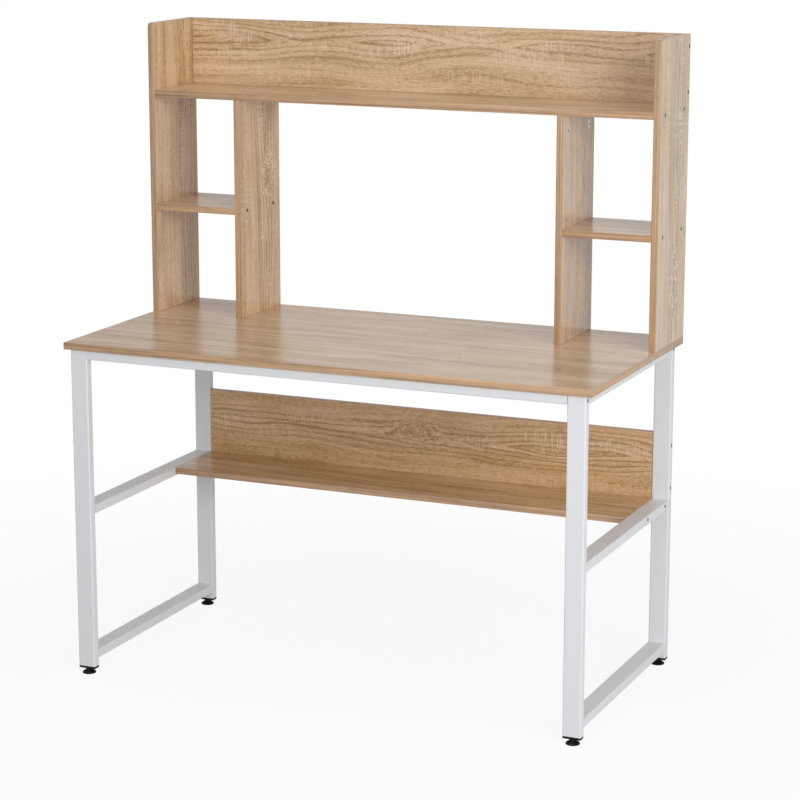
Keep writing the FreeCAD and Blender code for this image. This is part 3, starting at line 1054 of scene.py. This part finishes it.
# %% Cams
cam_radius = 0.0075
cam_rim = 0.0011
cam_dish = 0.0006


def cam_nut(length):
    cam = blank_head(cam_radius, length)
    pick_end(cam, 1)
    bpy.ops.mesh.bevel(offset=rim_round, segments=rim_steps, affect="EDGES")
    pick_end(cam, 1)
    bpy.ops.mesh.inset(thickness=cam_rim)
    draw_down(cam_dish)
    close_edit(sharp)
    cut_with(cam, cross_cutter(width=0.0094, slot=0.0026, depth=0.0060))
    return cam


set_out("cam_nuts", axis_x, cam_nut, bright_zinc)

# %% [markdown]
# A levelling foot turns on a threaded stud, and the thread shows when the foot is screwed out. A thread
# is a small tooth swept round and up at once, which the Screw modifier does: a profile one pitch high
# goes round the axis and rises by that pitch on each turn. The profile starts as a flat square. Two of
# its corners are deleted, and the edge that is left is subdivided and stood upright.

# %% Profile of a thread
thread_pitch = 0.00125
thread_depth = 0.00065
profile_cuts = 3


def thread_profile(radius):
    """An upright line one pitch high, whose middle point stands out as the crest of the thread."""
    start_clear()
    bpy.ops.mesh.primitive_plane_add(size=thread_pitch)
    profile = bpy.context.object
    bpy.ops.object.mode_set(mode="EDIT")
    pick(profile, "edges", lambda edge: all(corner.co.x > 0 for corner in edge.verts))
    bpy.ops.mesh.delete(type="VERT")
    bpy.ops.mesh.select_all(action="SELECT")
    bpy.ops.mesh.subdivide(number_cuts=profile_cuts)
    mesh = bmesh.from_edit_mesh(profile.data)
    for corner in mesh.verts:
        on_crest = abs(corner.co.y) < tiny
        height = corner.co.y + thread_pitch / 2
        corner.co = (radius if on_crest else radius - thread_depth, 0, height)
    bmesh.update_edit_mesh(profile.data)
    bpy.ops.object.mode_set(mode="OBJECT")
    return profile


print("thread of", thread_pitch, "metres pitch")

# %% [markdown]
# The profile is one pitch high itself, so it goes round once less than the number of turns on the stud.
# The turns are then merged where they meet, and the open ends are filled, which makes a closed solid.

# %% Threaded studs
thread_steps = 24


def threaded_stud(low, high):
    """A thread that fills a stud's box, made on the origin's axis and then moved to its place."""
    stud = thread_profile((high.x - low.x) / 2)
    turns = int((high.z - low.z) / thread_pitch)
    sweep = stud.modifiers.new("thread", "SCREW")
    sweep.axis = "Z"
    sweep.screw_offset = thread_pitch
    sweep.iterations = turns - 1
    sweep.steps = thread_steps
    sweep.render_steps = thread_steps
    sweep.use_merge_vertices = True
    sweep.merge_threshold = tiny
    bpy.ops.object.modifier_apply(modifier=sweep.name)
    bpy.ops.object.mode_set(mode="EDIT")
    bpy.ops.mesh.select_all(action="SELECT")
    bpy.ops.mesh.remove_doubles(threshold=tiny)
    bpy.ops.mesh.fill_holes(sides=0)
    close_edit(sharp)
    stud.data.transform(Matrix.Translation(((low.x + high.x) / 2, (low.y + high.y) / 2, low.z)))
    return stud


feet = [f"{end}_{side}" for end in ("front", "rear") for side in ("left", "right")]
for foot in feet:
    low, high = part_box(f"foot_stud_{foot}")
    stud = threaded_stud(low, high)
    hand_over(stud, f"foot_stud_{foot}_thread", f"foot_{foot}", zinc_steel)
    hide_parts(f"foot_stud_{foot}")
    print(stud.name, len(stud.data.polygons), "faces")
